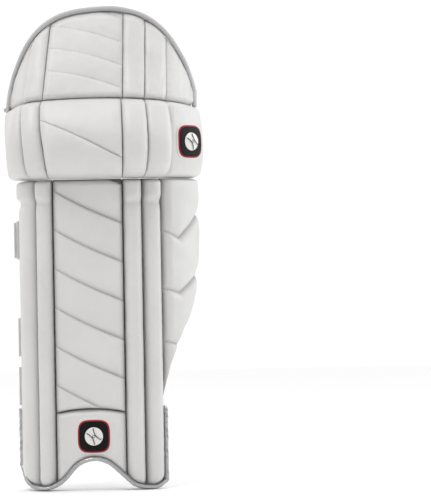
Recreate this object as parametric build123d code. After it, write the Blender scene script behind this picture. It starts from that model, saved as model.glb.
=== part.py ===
from build123d import *
import math
import os

os.makedirs("parts", exist_ok=True)

# Cricket leg pad, worn on the front of one leg. Millimetres, +Z up, front facing -Y.
# Every layer follows one U-shaped plan curve that wraps the leg. A place on the pad is
# given by s, the distance along that curve from x = 0 (positive to the wing side), by d,
# the depth inward from the outer face, and by z.

# ---- Overall sizes ----
pad_height = 680.0            # floor to the top of the flap
knee_fold_z = 436.0           # seam between shin and knee
flap_fold_z = 548.0           # seam between knee and flap
flap_lean_deg = 25.5          # the flap leans back from the knee

# ---- Plan curve ----
front_left = 60.0             # where the flat front turns into the tight corner
left_corner_radius = 40.0
left_corner_deg = 65.0
front_right = 37.0            # where the flat front turns into the broad sweep
right_sweep_radius = 125.0

# ---- Seams along the plan curve ----
knee_left_edge = -165.0
shin_left_edge = -127.5
knee_left_seam = -108.0
left_bolster_seam = -82.0
knee_centre_left = -67.0
flap_left_seam = -96.0
centre_left = -51.5
centre_right = 47.5
right_bolster_seam = 78.5
shin_right_edge = 109.5
wing_edge = 183.0

# ---- Wall layers ----
outer_stack = 24.0            # bolsters and pads, down to the board
board_thickness = 3.0
lining_thickness = 8.0
skin = 2.0                    # sewn cover of a bolster or panel
panel_sink = 6.0              # flat panels lie this far below the bolster crowns
flap_panel_depth = 12.0       # the flap's centre cover, down to its foam
bolster_shoulder = 10.0       # a bolster's edge lies this far below its crown
board_back = outer_stack + board_thickness
lining_back = board_back + lining_thickness

# ---- Knee ----
knee_bulge = 39.0             # the centre pads stand this far in front of the shin
roll_bulge = 27.0
left_roll_bulge = 18.0
wing_bulge = 10.0
knee_ridge_share = 0.45       # height of the ridge, as a share of the knee's height
knee_seam_left_rise = 80.0    # diagonal seam, above the knee fold
knee_seam_right_rise = 30.0
knee_foam_stand = 14.0        # foam core in front of its base
knee_core_depth = 10.0        # base of the foam core
wing_outward_share = 0.6      # share of the wing's bulge that its inner face follows
knee_stations = [(0.0, 0.05), (0.1, 0.58), (knee_ridge_share, 1.0), (0.72, 0.76), (1.0, 0.0)]

# ---- Folds ----
fold_gap = 4.0                # open seam at a fold
knee_fold_depth = 30.0        # fold axes lie this far behind the front face
flap_fold_depth = 26.0
knee_back_relief_deg = 8.0
flap_back_relief_deg = 10.5
front_relief_deg = 5.5

# ---- Side wing ----
wing_seam_gap = 2.5
wing_depth = 8.0
wing_cover_thickness = 6.0
wing_sheet_thickness = 1.5
wing_lining_thickness = 4.5
wing_bottom_z = 128.0
wing_tail = 8.0               # the free edge meets the bolster seam this far below the wing
wing_edge_shares = [(-0.06, 0.0), (0.387, 0.26), (0.83, 0.57), (1.0, 0.734), (0.98, 1.0)]

# ---- Bottom edge ----
instep_seam_z = 112.0
arch_height = 46.0
lobe_left_x = -68.0
lobe_right_x = 86.0
arch_x = 6.0
lobe_flat = 20.0              # half width of a lobe's lowest stretch
arch_flat = 24.0
corner_rise = 58.0            # height where the bottom edge meets the sides
left_corner_out = 28.0        # the bottom edge runs this far past each side
right_corner_out = 34.0
edge_radii = [24, 26, 28, 28, 26, 24]
binding_width = 6.5
binding_top_z = 117.0
side_band = 3.0               # binding up each side of the shin
floor_trim = 3.0              # the bolsters stop this far above the floor

# ---- Flap outline ----
# A skewed arch, higher towards the wing side. Its corners are shares of the pad's width and
# of the flap's height.
arch_shares = [(-0.02, -0.25), (0.072, 0.447), (0.181, 0.848), (0.354, 1.0), (0.647, 1.0),
               (0.849, 0.697), (0.977, 0.06), (0.992, -0.25)]
arch_radii = [120, 60, 100, 80, 90, 150]

# ---- Bolster cores ----
cane_diameter = 8.0
cane_spacing = 11.0
core_rise = 6.0               # the cores start this far above the arch
core_drop = 9.0               # and stop this far below the knee fold

# ---- Straps ----
strap_width = 50.0
strap_thickness = 2.5
strap_heights = {"upper": 352.0, "calf": 215.0, "ankle": 146.0}
strap_reach = {"upper": 1.0, "calf": -6.0, "ankle": -6.0}
strap_back_depth = 118.0      # the closed straps pass this far behind the front face
strap_left_x = -46.0          # corners of the closed straps behind the leg
strap_right_x = 52.0
strap_left_rise = 16.0        # those corners lie this far in front of the straps' back
strap_right_rise = 14.0
strap_lead = 4.0              # a strap runs this far past the lining before it turns
strap_radii = [16, 26, 60, 26]
patch_thickness = 1.6
patch_inset = 2.0             # hook patch, from the strap's contact area
patch_narrower = 6.0          # hook patch, narrower than its strap
loop_wider = 4.0              # loop patch, wider than the straps
tab_length = 14.0
anchor_length = 12.0
hinge_clearance = 2.2

# ---- Badges ----
badge_width = 46.0
badge_height = 47.0
badge_thickness = 2.0
instep_badge_z = 75.0
knee_badge_z = 487.0
knee_badge_s = 150.0

# ---- Inside cushions ----
cushion_thickness = 8.0
knee_cup_width = 84.0
knee_cup_height = 92.0
knee_cup_rim = 18.0
calf_cushion_low_z = 70.0
calf_cushion_high_z = 410.0
calf_cushion_shift = 14.0     # the right calf cushion, left of its bolster
calf_cushion_margin = 3.0
ankle_cushion_left = -40.0
ankle_cushion_low = 14.0      # above the arch
ankle_cushion_high = 20.0     # above the instep seam

knee_height = flap_fold_z - knee_fold_z
cutter_reach = 300.0          # half length of the cutting prisms, past every side of the pad
overrun = 5.0                 # a trimming block starts this far outside what it trims
left_corner = math.radians(left_corner_deg)
left_run_start = -front_left - left_corner_radius * left_corner


def plan_point(s, d):
    """Point of the plan curve at distance s, moved inward by depth d."""
    if s > front_right:
        turn = (s - front_right) / right_sweep_radius
        radius = right_sweep_radius - d
        return (front_right + radius * math.sin(turn), right_sweep_radius - radius * math.cos(turn))
    if s >= -front_left:
        return (s, d)
    turn = min((-front_left - s) / left_corner_radius, left_corner)
    run = max(left_run_start - s, 0.0)
    radius = left_corner_radius - d
    x = -front_left - radius * math.sin(turn) - run * math.cos(turn)
    y = left_corner_radius - radius * math.cos(turn) + run * math.sin(turn)
    return (x, y)


left_reach_x = plan_point(knee_left_edge, wing_depth)[0]
right_reach_x = plan_point(wing_edge, 0.0)[0]
centre_x = (left_reach_x + right_reach_x) / 2
centre_y = (strap_back_depth - knee_bulge) / 2


def along(s0, s1, d):
    """Edges of the plan curve from s0 to s1 at one depth: lines and true arcs."""
    step = 1 if s1 > s0 else -1
    inner = [b for b in (left_run_start, -front_left, front_right) if min(s0, s1) < b < max(s0, s1)]
    stops = [s0] + sorted(inner)[::step] + [s1]
    edges = []
    for a, b in zip(stops, stops[1:]):
        middle = (a + b) / 2
        start, mid, end = plan_point(a, d), plan_point(middle, d), plan_point(b, d)
        straight = middle < left_run_start or -front_left < middle < front_right
        edges.append(Line(start, end) if straight else ThreePointArc(start, mid, end))
    return edges


def placed(face, z, lean=0.0):
    """A plan face set at height z in the row frame, moved back by lean."""
    return Pos(-centre_x, -centre_y + lean, z) * face


def layer_face(s0, s1, d0, d1):
    """Plan face between two depths, its long edges following the plan curve."""
    outer = along(s0, s1, d0)
    inner = along(s1, s0, d1)
    right_end = Line(plan_point(s1, d0), plan_point(s1, d1))
    left_end = Line(plan_point(s0, d1), plan_point(s0, d0))
    return make_face(outer + [right_end] + inner + [left_end])


def roll_face(s0, s1, crown, shoulder, d1):
    """Plan face with a rounded outer side: shoulder at both edges, crown in the middle."""
    middle = (s0 + s1) / 2
    arc = ThreePointArc(plan_point(s0, shoulder), plan_point(middle, crown), plan_point(s1, shoulder))
    right_end = Line(plan_point(s1, shoulder), plan_point(s1, d1))
    left_end = Line(plan_point(s0, d1), plan_point(s0, shoulder))
    return make_face([arc, right_end] + along(s1, s0, d1) + [left_end])


def upright(face, z0, z1):
    """Straight prism of a plan face between two heights."""
    return extrude(placed(face, z0), amount=z1 - z0)


def leaning(face):
    """Prism of a plan face over the flap's height, leaning back with the flap."""
    lean = (pad_height - flap_fold_z) * math.tan(math.radians(flap_lean_deg))
    return loft([placed(face, flap_fold_z), placed(face, pad_height, lean)])


def front_prism(face):
    """A face drawn in the X-Z plane, carried through the whole depth of the pad."""
    behind = Plane(origin=(-centre_x, cutter_reach - centre_y, 0), x_dir=(1, 0, 0), z_dir=(0, -1, 0))
    return extrude(behind * face, amount=2 * cutter_reach, dir=(0, -1, 0))


def fold_relief(z, depth, back_deg, front_deg):
    """Wedge cut at a fold: it opens backward and forward from the fold axis."""
    half_gap = fold_gap / 2
    back = half_gap + cutter_reach * math.tan(math.radians(back_deg))
    front = half_gap + cutter_reach * math.tan(math.radians(front_deg))
    points = [(depth, half_gap), (depth + cutter_reach, back), (depth + cutter_reach, -back),
              (depth, -half_gap), (depth - cutter_reach, -front), (depth - cutter_reach, front)]
    side = make_face(Polyline(*points, close=True))
    left_of_pad = Plane(origin=(-cutter_reach, -centre_y, z), x_dir=(0, 1, 0), z_dir=(1, 0, 0))
    return extrude(left_of_pad * side, amount=2 * cutter_reach)


knee_relief = fold_relief(knee_fold_z, knee_fold_depth, knee_back_relief_deg, front_relief_deg)
flap_relief = fold_relief(flap_fold_z, flap_fold_depth, flap_back_relief_deg, front_relief_deg)

# Bottom edge: two lobes over the shoe with an arch between them.
left_of_shin = plan_point(shin_left_edge, 0)[0] - left_corner_out
right_of_shin = plan_point(shin_right_edge, 0)[0] + right_corner_out
edge_corners = [
    (left_of_shin, corner_rise), (lobe_left_x - lobe_flat, 0), (lobe_left_x + lobe_flat, 0),
    (arch_x - arch_flat, arch_height), (arch_x + arch_flat, arch_height),
    (lobe_right_x - lobe_flat, 0), (lobe_right_x + lobe_flat, 0), (right_of_shin, corner_rise),
]
bottom_line = FilletPolyline(*edge_corners, radius=edge_radii)
below_edge = make_face([bottom_line, Polyline(edge_corners[-1], (right_of_shin, -cutter_reach),
                                              (left_of_shin, -cutter_reach), edge_corners[0])])
bottom_cut = front_prism(below_edge)
binding_cut = front_prism(offset(below_edge, binding_width, kind=Kind.INTERSECTION))


def arch_face(inset):
    """Flap outline, drawn this far inside the pad's outer edge."""
    width = right_reach_x - left_reach_x - 2 * inset
    height = pad_height - flap_fold_z - inset
    corners = [(left_reach_x + inset + across * width, flap_fold_z + up * height)
               for across, up in arch_shares]
    line = FilletPolyline(*corners, radius=[radius - inset for radius in arch_radii])
    return make_face([line, Line(corners[-1], corners[0])])


arch_prism = front_prism(arch_face(0.0))
inner_arch_prism = front_prism(arch_face(binding_width))

nodes = {}

# ---- Shin: board, lining and centre panel ----
shin_top = knee_fold_z


def shin_piece(face, z0=0.0, z1=shin_top):
    """Shin layer trimmed by the knee fold and by the inside of the bottom binding."""
    return upright(face, z0, z1) - knee_relief - binding_cut


nodes["shin_board"] = shin_piece(layer_face(shin_left_edge, shin_right_edge, outer_stack, board_back))
nodes["shin_lining"] = shin_piece(layer_face(shin_left_edge, shin_right_edge, board_back, lining_back))

panel_cavity = upright(layer_face(centre_left + skin, centre_right - skin, panel_sink + skin, outer_stack),
                       instep_seam_z + skin, shin_top - 3 * skin)
nodes["shin_centre_panel"] = shin_piece(
    layer_face(centre_left, centre_right, panel_sink, outer_stack), instep_seam_z) - panel_cavity
nodes["shin_centre_foam"] = panel_cavity

nodes["instep_panel"] = shin_piece(
    layer_face(centre_left, centre_right, panel_sink, outer_stack), 0.0, instep_seam_z)

# ---- Shin: four bolsters, each a cover, a foam core and two canes ----
bolster_spans = {
    "outer_left_bolster": (shin_left_edge, left_bolster_seam),
    "inner_left_bolster": (left_bolster_seam, centre_left),
    "inner_right_bolster": (centre_right, right_bolster_seam),
    "outer_right_bolster": (right_bolster_seam, shin_right_edge),
}
core_bottom_z = arch_height + core_rise
core_top_z = shin_top - core_drop
foam_cores = []
canes = []
for name, (s0, s1) in bolster_spans.items():
    core = upright(roll_face(s0 + skin, s1 - skin, skin, bolster_shoulder + skin, outer_stack - skin),
                   core_bottom_z, core_top_z)
    rods = []
    for side in (-1, 1):
        x, y = plan_point((s0 + s1) / 2 + side * cane_spacing / 2, outer_stack / 2 + skin)
        rods.append(upright(Pos(x, y) * Circle(cane_diameter / 2), core_bottom_z, core_top_z))
    nodes[name] = shin_piece(roll_face(s0, s1, 0.0, bolster_shoulder, outer_stack)) - core
    foam_cores.append(core - rods)
    canes += rods
nodes["bolster_foam_cores"] = foam_cores
nodes["bolster_canes"] = canes

# ---- Shin: binding, badge and inside cushions ----
band_face = layer_face(shin_left_edge, shin_right_edge, bolster_shoulder, lining_back)
band = upright(band_face, -overrun, binding_top_z)
band_edges = [(shin_left_edge - side_band, shin_left_edge), (shin_right_edge, shin_right_edge + side_band)]
side_bands = [upright(layer_face(s0, s1, bolster_shoulder, lining_back), 0, binding_top_z)
              for s0, s1 in band_edges]
nodes["bottom_binding"] = (band & binding_cut) - bottom_cut + [b - bottom_cut for b in side_bands]
floor_face = layer_face(shin_left_edge - overrun, shin_right_edge + overrun, -overrun, outer_stack)
for name in bolster_spans:
    nodes[name] -= upright(floor_face, -overrun, floor_trim)


def badge(s, z, d0, d1):
    """Rounded plate standing on a panel at depth d1, with its outer face at d0."""
    x, y = plan_point(s, d1)
    x_out, y_out = plan_point(s, d0)
    facing = Plane(origin=(x - centre_x, y - centre_y, z), x_dir=(-(y_out - y), x_out - x, 0),
                   z_dir=(x_out - x, y_out - y, 0))
    shape = RectangleRounded(badge_width, badge_height, badge_width / 4)
    return extrude(facing * shape, amount=math.hypot(x_out - x, y_out - y))


nodes["instep_badge"] = badge((centre_left + centre_right) / 2, instep_badge_z,
                              panel_sink - badge_thickness, panel_sink)

cushion_back = lining_back + cushion_thickness


def cushion(s0, s1, z0, z1):
    """Comfort cushion sewn inside the lining."""
    return upright(layer_face(s0, s1, lining_back, cushion_back), z0, z1)


nodes["left_calf_cushion"] = cushion(shin_left_edge + calf_cushion_margin, left_run_start,
                                     calf_cushion_low_z, calf_cushion_high_z)
nodes["right_calf_cushion"] = cushion(right_bolster_seam - calf_cushion_shift,
                                      shin_right_edge - calf_cushion_shift,
                                      calf_cushion_low_z, calf_cushion_high_z)
nodes["ankle_cushion"] = cushion(ankle_cushion_left, front_right,
                                 arch_height + ankle_cushion_low, instep_seam_z + ankle_cushion_high)


# ---- Knee ----
def knee_loft(s0, s1, stand, base, outward_share=0.0):
    """Knee layer: its outer side stands out from base by a share of stand at each height,
    and its inner side follows by outward_share of that."""
    sections = []
    for rise, share in knee_stations:
        out = stand * share
        face = layer_face(s0, s1, base - out, outer_stack - outward_share * out)
        sections.append(placed(face, knee_fold_z + rise * knee_height))
    return loft(sections, ruled=True) - knee_relief - flap_relief


def knee_layer(s0, s1, d0, d1):
    """Straight knee layer trimmed at both folds."""
    return upright(layer_face(s0, s1, d0, d1), knee_fold_z, flap_fold_z) - knee_relief - flap_relief


nodes["knee_board"] = knee_layer(knee_left_seam, shin_right_edge, outer_stack, board_back)
nodes["knee_lining"] = knee_layer(knee_left_seam, shin_right_edge, board_back, lining_back)


def knee_pad(s0, s1, stand):
    """Outer knee pad standing on the foam core."""
    return knee_loft(s0, s1, stand, panel_sink) - knee_core


knee_core = knee_loft(knee_centre_left, shin_right_edge, knee_foam_stand, knee_core_depth)
nodes["knee_foam_core"] = knee_core
centre_pad = knee_pad(knee_centre_left, centre_right, knee_bulge + panel_sink)
seam_slope = (knee_seam_right_rise - knee_seam_left_rise) / (centre_right - knee_centre_left)
seam_middle_z = knee_fold_z + knee_seam_left_rise - seam_slope * knee_centre_left
seam_ends = [(side * cutter_reach, seam_middle_z + side * seam_slope * cutter_reach) for side in (-1, 1)]
above_seam = front_prism(make_face(Polyline(
    *seam_ends, (cutter_reach, pad_height), (-cutter_reach, pad_height), close=True)))
nodes["upper_knee_pad"] = centre_pad & above_seam
nodes["lower_knee_pad"] = centre_pad - above_seam
nodes["knee_inner_roll"] = knee_pad(centre_right, right_bolster_seam, roll_bulge + panel_sink)
nodes["knee_outer_roll"] = knee_pad(right_bolster_seam, shin_right_edge, roll_bulge + panel_sink)
nodes["knee_left_roll"] = knee_loft(knee_left_seam, knee_centre_left, left_roll_bulge, panel_sink)
nodes["knee_left_panel"] = knee_layer(knee_left_edge, knee_left_seam, wing_depth, outer_stack)
nodes["knee_wing"] = knee_loft(shin_right_edge, wing_edge, wing_bulge, wing_depth, wing_outward_share)
knee_badge_depth = wing_depth - wing_bulge
nodes["knee_badge"] = badge(knee_badge_s, knee_badge_z, knee_badge_depth - badge_thickness, knee_badge_depth)

cup_x = (front_right - front_left) / 2
cup_z = (knee_fold_z + flap_fold_z) / 2
cup_ring = Ellipse(knee_cup_width / 2, knee_cup_height / 2) - Ellipse(
    knee_cup_width / 2 - knee_cup_rim, knee_cup_height / 2 - knee_cup_rim)
cup_plane = Plane(origin=(cup_x - centre_x, cushion_back - centre_y, cup_z), x_dir=(1, 0, 0), z_dir=(0, -1, 0))
nodes["knee_cup_cushion"] = extrude(cup_plane * cup_ring, amount=cushion_thickness)


# ---- Flap ----
def flap_piece(face):
    """Flap layer inside the piping, trimmed at the fold."""
    return (leaning(face) & inner_arch_prism) - flap_relief


nodes["flap_board"] = flap_piece(layer_face(knee_left_seam, shin_right_edge, outer_stack, board_back))
nodes["flap_lining"] = flap_piece(layer_face(knee_left_seam, shin_right_edge, board_back, lining_back))
nodes["flap_foam"] = flap_piece(layer_face(knee_centre_left, centre_right, flap_panel_depth, outer_stack))
nodes["flap_centre_panel"] = flap_piece(layer_face(knee_centre_left, centre_right, 0.0, flap_panel_depth))
nodes["flap_left_roll"] = flap_piece(layer_face(flap_left_seam, knee_centre_left, 0.0, outer_stack))
nodes["flap_inner_roll"] = flap_piece(layer_face(centre_right, right_bolster_seam, 0.0, outer_stack))
nodes["flap_outer_roll"] = flap_piece(layer_face(right_bolster_seam, shin_right_edge, 0.0, outer_stack))
nodes["flap_left_wing"] = flap_piece(layer_face(knee_left_edge, flap_left_seam, wing_depth, outer_stack))
nodes["flap_right_wing"] = flap_piece(layer_face(shin_right_edge, wing_edge, wing_depth, outer_stack))
flap_shell = leaning(layer_face(knee_left_edge, wing_edge, wing_depth, outer_stack))
nodes["flap_piping"] = (flap_shell & arch_prism) - inner_arch_prism - flap_relief

# ---- Side wing ----
wing_base_x = plan_point(shin_right_edge, 0)[0]
wing_base_z = wing_bottom_z - wing_tail
wing_width = right_reach_x - wing_base_x
wing_height = knee_fold_z - wing_base_z
free_edge = [(wing_base_x + out * wing_width, wing_base_z + up * wing_height) for out, up in wing_edge_shares]
wing_outline = make_face([Spline(*free_edge), Polyline(free_edge[-1], (0, knee_fold_z), (0, wing_base_z),
                                                       free_edge[0])])
wing_prism = front_prism(wing_outline)


def wing_layer(d0, d1):
    """Side wing layer from the bolster seam back to the curved free edge."""
    face = layer_face(shin_right_edge + wing_seam_gap, wing_edge, d0, d1)
    return (upright(face, wing_bottom_z, knee_fold_z) & wing_prism) - knee_relief


wing_sheet_depth = wing_depth + wing_cover_thickness
wing_lining_depth = wing_sheet_depth + wing_sheet_thickness
nodes["wing_cover"] = wing_layer(wing_depth, wing_sheet_depth)
nodes["wing_stiffener"] = wing_layer(wing_sheet_depth, wing_lining_depth)
nodes["wing_lining"] = wing_layer(wing_lining_depth, wing_lining_depth + wing_lining_thickness)

# ---- Straps ----
strap_depth = lining_back + strap_thickness / 2
hinge_s = shin_right_edge + hinge_clearance
strap_hinge = plan_point(hinge_s, strap_depth)
edge_dir = (math.cos(left_corner), -math.sin(left_corner))
back_dir = (-math.cos(left_corner), math.sin(left_corner))
rest_offset = 2 * patch_thickness + strap_thickness / 2


def behind_left_edge(depth, offset):
    """Point behind the shin's left end face: depth inward along it, offset away from it."""
    x, y = plan_point(shin_left_edge, depth)
    return (x + back_dir[0] * offset, y + back_dir[1] * offset)


def slab(depth0, depth1, offset0, offset1, z, width):
    """Flat patch lying parallel to the shin's left end face."""
    corners = [behind_left_edge(depth0, offset0), behind_left_edge(depth1, offset0),
               behind_left_edge(depth1, offset1), behind_left_edge(depth0, offset1)]
    return upright(make_face(Polyline(*corners, close=True)), z - width / 2, z + width / 2)


loop_patches = []
strap_anchors = []
for name, z in strap_heights.items():
    tip = -strap_reach[name]
    route = [behind_left_edge(tip, rest_offset),
             behind_left_edge(lining_back + strap_lead, rest_offset),
             (strap_left_x, strap_back_depth - strap_left_rise),
             (0, strap_back_depth - strap_thickness / 2),
             (strap_right_x, strap_back_depth - strap_right_rise),
             strap_hinge]
    band_line = FilletPolyline(*route, radius=strap_radii)
    strap_face = trace(band_line, line_width=strap_thickness)
    gap_disc = Pos(*strap_hinge) * Circle(hinge_clearance)
    low, high = z - strap_width / 2, z + strap_width / 2
    nodes[name + "_strap"] = upright(strap_face, low, high) - upright(gap_disc, low, high)
    inner_face = rest_offset - strap_thickness / 2
    outer_face = rest_offset + strap_thickness / 2
    nodes[name + "_strap_hook_patch"] = slab(patch_inset, lining_back - patch_inset,
                                             inner_face - patch_thickness, inner_face,
                                             z, strap_width - patch_narrower)
    nodes[name + "_strap_end_tab"] = slab(tip, tip + tab_length, outer_face, outer_face + patch_thickness,
                                          z, strap_width)
    loop_patches.append(slab(patch_inset / 2, lining_back - patch_inset / 2, 0.0, patch_thickness,
                             z, strap_width + loop_wider))
    anchor_face = layer_face(shin_right_edge - anchor_length, shin_right_edge,
                             lining_back, lining_back + strap_thickness)
    strap_anchors.append(upright(anchor_face, low, high))
nodes["loop_patches"] = loop_patches
nodes["strap_anchors"] = strap_anchors


def solids_of(shape):
    """All solids of one node, whether it is a single shape or a list of shapes."""
    shapes = shape if isinstance(shape, list) else [shape]
    return [solid for one in shapes for solid in one.solids()]


for name, shape in nodes.items():
    solids = solids_of(shape)
    export_step(Compound(solids) if len(solids) > 1 else solids[0], f"parts/{name}.step")
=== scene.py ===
import bpy
import math
import zlib
import numpy as np
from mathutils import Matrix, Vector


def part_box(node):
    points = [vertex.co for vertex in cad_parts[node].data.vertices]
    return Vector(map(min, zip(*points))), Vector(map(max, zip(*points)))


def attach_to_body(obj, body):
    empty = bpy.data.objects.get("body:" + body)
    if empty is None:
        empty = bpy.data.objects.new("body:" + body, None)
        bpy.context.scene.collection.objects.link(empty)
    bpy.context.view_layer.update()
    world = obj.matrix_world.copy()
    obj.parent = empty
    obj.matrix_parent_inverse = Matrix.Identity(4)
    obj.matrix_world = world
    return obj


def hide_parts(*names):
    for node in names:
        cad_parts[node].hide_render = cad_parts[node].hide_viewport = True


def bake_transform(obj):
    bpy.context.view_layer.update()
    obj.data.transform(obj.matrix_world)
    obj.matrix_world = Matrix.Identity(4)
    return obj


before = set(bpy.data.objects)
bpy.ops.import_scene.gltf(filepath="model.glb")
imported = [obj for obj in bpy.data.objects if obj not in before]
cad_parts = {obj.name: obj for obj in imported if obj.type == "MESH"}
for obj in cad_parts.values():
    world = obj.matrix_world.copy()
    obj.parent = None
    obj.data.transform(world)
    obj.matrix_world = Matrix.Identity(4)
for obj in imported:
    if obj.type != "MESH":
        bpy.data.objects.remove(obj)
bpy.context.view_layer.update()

# Lengths are in millimetres until a mesh is made, which is in metres.
# A place on the pad is s, the distance along its U-shaped plan curve (0 at the middle of the
# flat front, positive to the wing side), d, the depth inward from the outer face, and z.
MM = 0.001

# ---- Plan curve ----
FRONT_LEFT = 60.0
CORNER_RADIUS = 40.0
CORNER_TURN = math.radians(65.0)
FRONT_RIGHT = 37.0
SWEEP_RADIUS = 125.0
RUN_START = -FRONT_LEFT - CORNER_RADIUS * CORNER_TURN

# ---- Seams along the curve ----
KNEE_LEFT_EDGE = -165.0
SHIN_LEFT_EDGE = -127.5
LEFT_SEAM = -82.0
CENTRE_LEFT = -51.5
CENTRE_RIGHT = 47.5
RIGHT_SEAM = 78.5
SHIN_RIGHT_EDGE = 109.5
WING_EDGE = 183.0

# ---- Heights ----
KNEE_FOLD = 436.0
FLAP_FOLD = 548.0
LEAN = math.tan(math.radians(25.5))
FLAP_BEND = 8.0               # the flap's lean sets in softly over this height
BINDING_TOP = 117.0

# ---- Depths ----
BOARD = 24.0
SEAM_DEPTH = 20.0
PIPING_DEPTH = 4.0
COVER_BACK = BOARD - 0.6      # where the covers meet the board
CORE_BACK = BOARD - 1.2
FOOT_TUCK = 4.0               # covers end this far above the foot's edge, in the binding
GAP = 0.35                    # between neighbouring pieces
PUCKER = 0.8                  # gathers of a cover beside its seams
MAP = 0.01                    # a piece's own map has this many units per millimetre

# The row frame's origin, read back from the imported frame.
panel_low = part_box("shin_centre_panel")[0]
CENTRE_X = CENTRE_LEFT - panel_low.x / MM
CENTRE_Y = 6.0 - panel_low.y / MM


# ------------------------------------------------------------------ shape functions
def plan(s, d):
    """x and y of the plan curve: a flat front, a tight arc then a straight run on the left,
    and a broad arc on the right, all moved inward by d."""
    right = np.maximum(s - FRONT_RIGHT, 0) / SWEEP_RADIUS
    left = np.clip((-FRONT_LEFT - s) / CORNER_RADIUS, 0, CORNER_TURN)
    run = np.maximum(RUN_START - s, 0)
    flat = np.clip(s, -FRONT_LEFT, FRONT_RIGHT)
    x = flat + (SWEEP_RADIUS - d) * np.sin(right) - (CORNER_RADIUS - d) * np.sin(left) - run * np.cos(left)
    y = (SWEEP_RADIUS - (SWEEP_RADIUS - d) * np.cos(right)
         + CORNER_RADIUS - (CORNER_RADIUS - d) * np.cos(left) + run * np.sin(left) - d)
    return x, y


def place(s, d, z):
    """Points in the row frame, in metres. Above the knee the wall leans back: the lean is the
    hyperbola (t + sqrt(t^2 + FLAP_BEND^2)) / 2 of the height t above the flap's fold."""
    s, d, z = np.broadcast_arrays(*(np.asarray(a, float) for a in (s, d, z)))
    x, y = plan(s, d)
    t = z - FLAP_FOLD
    y = y + LEAN * (t + np.sqrt(t * t + FLAP_BEND ** 2)) / 2
    return np.stack([x - CENTRE_X, y - CENTRE_Y, z], -1) * MM


def run_length(path):
    """Distance along a path at each of its points: the running sum of its chords."""
    return np.concatenate([[0], np.cumsum(np.linalg.norm(np.diff(path, axis=0), axis=1))])


def unit(vectors):
    """The same vectors at length 1."""
    return vectors / np.linalg.norm(vectors, axis=1, keepdims=True)


def edges(pair, where):
    """Two opposite edges of a piece, each a number or a function of the other coordinate."""
    return (f(where) if callable(f) else f for f in pair)


def signed_power(x, power):
    """The size of x to a power, with the sign of x: with a cosine and a sine it makes a
    superellipse of power 2 / power."""
    return np.sign(x) * np.abs(x) ** power


def superellipse(t, power):
    """Height of a superellipse at t, which runs from -1 to 1: (1 - |t|^power)^0.5."""
    return np.sqrt(np.maximum(1 - np.abs(t) ** power, 0))


def rounded(distance, radius):
    """Quarter-round edge: 0 at the edge, 1 from the radius inward."""
    t = np.clip(distance / radius, 0, 1)
    return np.sqrt(1 - (1 - t) ** 2)


def section_across(s, z, u, spans, left_radius, right_radius, power):
    """Section of a piece from seam to seam, 0 at both: a superellipse of the given power, or
    else a quarter-round at each side."""
    if power:
        return superellipse(2 * u - 1, power)
    left, right = edges(spans, z)
    return rounded(s - left, left_radius) * rounded(right - s, right_radius)


def smooth(t):
    """Smoothstep of t between 0 and 1."""
    t = np.clip(t, 0, 1)
    return t * t * (3 - 2 * t)


def uneven(s, z, name, size, waves=7):
    """Soft unevenness: a sum of plane waves with seeded directions, each about size long."""
    rng = np.random.default_rng(zlib.crc32(name.encode()))
    total = np.zeros(np.broadcast(s, z).shape)
    for _ in range(waves):
        angle, phase = rng.uniform(0, 2 * math.pi, 2)
        length = size * rng.uniform(0.7, 1.6)
        total = total + np.sin(2 * math.pi * (s * math.cos(angle) + z * math.sin(angle)) / length + phase)
    return total / waves


def knee_profile(z):
    """Bulge of the knee over its height, 0 at both folds: sin(pi r^0.75)^0.8."""
    r = np.clip((z - KNEE_FOLD) / (FLAP_FOLD - KNEE_FOLD), 0, 1)
    return np.maximum(np.sin(math.pi * r ** 0.75), 0) ** 0.8


def flap_fold(s):
    """Height of the seam between knee and flap: highest in front, falling as a parabola."""
    return FLAP_FOLD + 1 - 9 * ((s - 15) / 150) ** 2


def curve(knots):
    """Smooth height over s: cubic Hermite pieces between knots, whose slopes are those of
    the chords on either side."""
    at, height = np.array(knots, float).T
    slope = np.gradient(height, at)

    def value(s):
        """Height at s: h0 (1 + 2t)(1 - t)^2 + h1 t^2 (3 - 2t), plus the slopes' shares."""
        i = np.clip(np.searchsorted(at, s) - 1, 0, len(at) - 2)
        width = at[i + 1] - at[i]
        t = np.clip((s - at[i]) / width, 0, 1)
        return (height[i] * (1 + 2 * t) * (1 - t) ** 2 + height[i + 1] * t * t * (3 - 2 * t)
                + width * (slope[i] * t * (1 - t) ** 2 - slope[i + 1] * t * t * (1 - t)))
    return value


# Edge of the flap: a skewed arch, flat over the middle, by its height at each x.
ARCH_KNOTS = [(-120, 505), (-118, 530), (-115, 556), (-110, 579), (-102, 600), (-91.5, 621), (-79, 640),
              (-64.5, 655.5), (-48, 667), (-25, 675.5), (-3, 679), (18, 680.5), (36, 680.5), (56, 677),
              (77, 670), (96, 658), (113, 640.5), (127.5, 618), (138.5, 595), (146, 571), (151, 547),
              (154, 520), (155, 505)]
arch_over_x = curve(ARCH_KNOTS)


def arch(s):
    """Height of the flap's edge at s, from its height over x."""
    return arch_over_x(plan(s, PIPING_DEPTH)[0])


# Bottom edge: a lobe each side of the arch over the shoe.
foot = curve([(-128, 30), (-118, 16), (-100, 5), (-80, 0.8), (-62, 1.5), (-42, 12), (-24.5, 31), (0.7, 41),
              (21.8, 35.5), (40.7, 20), (59.5, 5), (78, 0.4), (94, 0.8), (109.5, 9)])


def instep_seam(s):
    """Height of the seam above the instep panel: a shallow arch."""
    return 108 + 6 * (1 - ((s - (CENTRE_LEFT + CENTRE_RIGHT) / 2) / 50) ** 2)


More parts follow.
